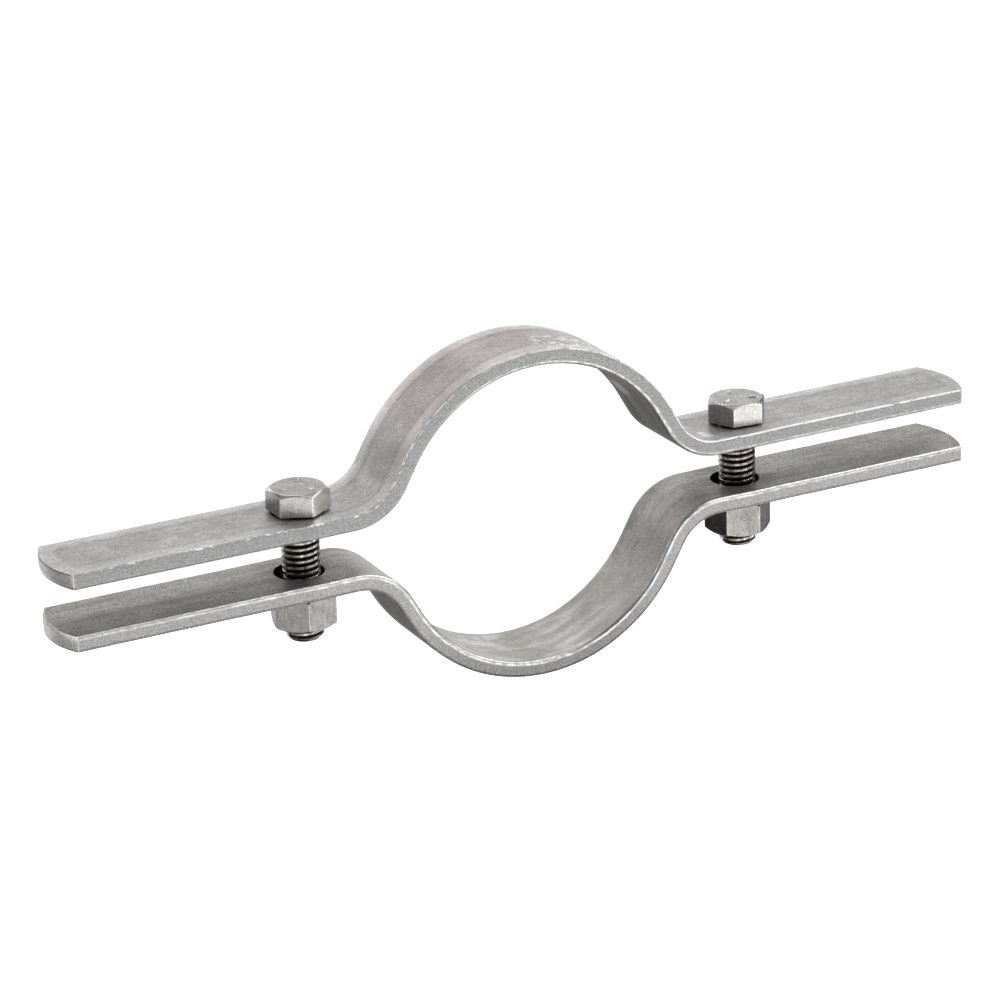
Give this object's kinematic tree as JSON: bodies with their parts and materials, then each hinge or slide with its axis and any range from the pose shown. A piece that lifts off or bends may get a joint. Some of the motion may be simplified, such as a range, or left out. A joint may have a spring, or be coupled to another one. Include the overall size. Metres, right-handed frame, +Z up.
{
  "type": "riser clamp",
  "caption": "Bolted two-half steel strap clamp that grips a vertical pipe and carries it on its ears where it passes through a floor.",
  "frame": {"origin": "on the pipe's axis, at the floor that the strap's long edges lie on", "axes": "+X along the clamp towards the right ears, +Y along the bolts towards their heads, +Z up along the pipe"},
  "size_m": [0.291, 0.0984, 0.0254],
  "materials": {
    "strap_steel": "matt rolled flat bar with rounded long edges",
    "fastener_steel": "plain bright cold-headed steel"
  },
  "bodies": {
    "head_side_half": {"head_side_half": "strap_steel"},
    "nut_side_half": {"nut_side_half": "strap_steel"},
    "left_bolt": {"left_bolt": "fastener_steel"},
    "right_bolt": {"right_bolt": "fastener_steel"},
    "left_nut": {"left_nut": "fastener_steel"},
    "right_nut": {"right_nut": "fastener_steel"}
  },
  "joints": [
    {"name": "half_slide", "type": "slide", "parent": "head_side_half", "child": "nut_side_half", "axis": [0, 1, 0], "range_m": [-0.0042, 0.013]},
    {"name": "left_nut_run", "type": "hinge", "parent": "nut_side_half", "child": "left_nut", "pos_m": [-0.06979, -0.0169, 0.0127], "axis": [0, 1, 0], "range_deg": [-834, 2580]},
    {"name": "right_nut_run", "type": "hinge", "parent": "nut_side_half", "child": "right_nut", "pos_m": [0.07139, -0.0169, 0.0127], "axis": [0, 1, 0], "range_deg": [-834, 2580]},
    {"name": "left_bolt_turn", "type": "hinge", "parent": "head_side_half", "child": "left_bolt", "pos_m": [-0.06979, 0.0114, 0.0127], "axis": [0, 1, 0], "continuous": true},
    {"name": "right_bolt_turn", "type": "hinge", "parent": "head_side_half", "child": "right_bolt", "pos_m": [0.07139, 0.0114, 0.0127], "axis": [0, 1, 0], "continuous": true}
  ],
  "couplings": [
    {"joint": "left_nut_run", "follows": "half_slide", "rad_per_m": 3463.2},
    {"joint": "right_nut_run", "follows": "half_slide", "rad_per_m": 3463.2}
  ]
}
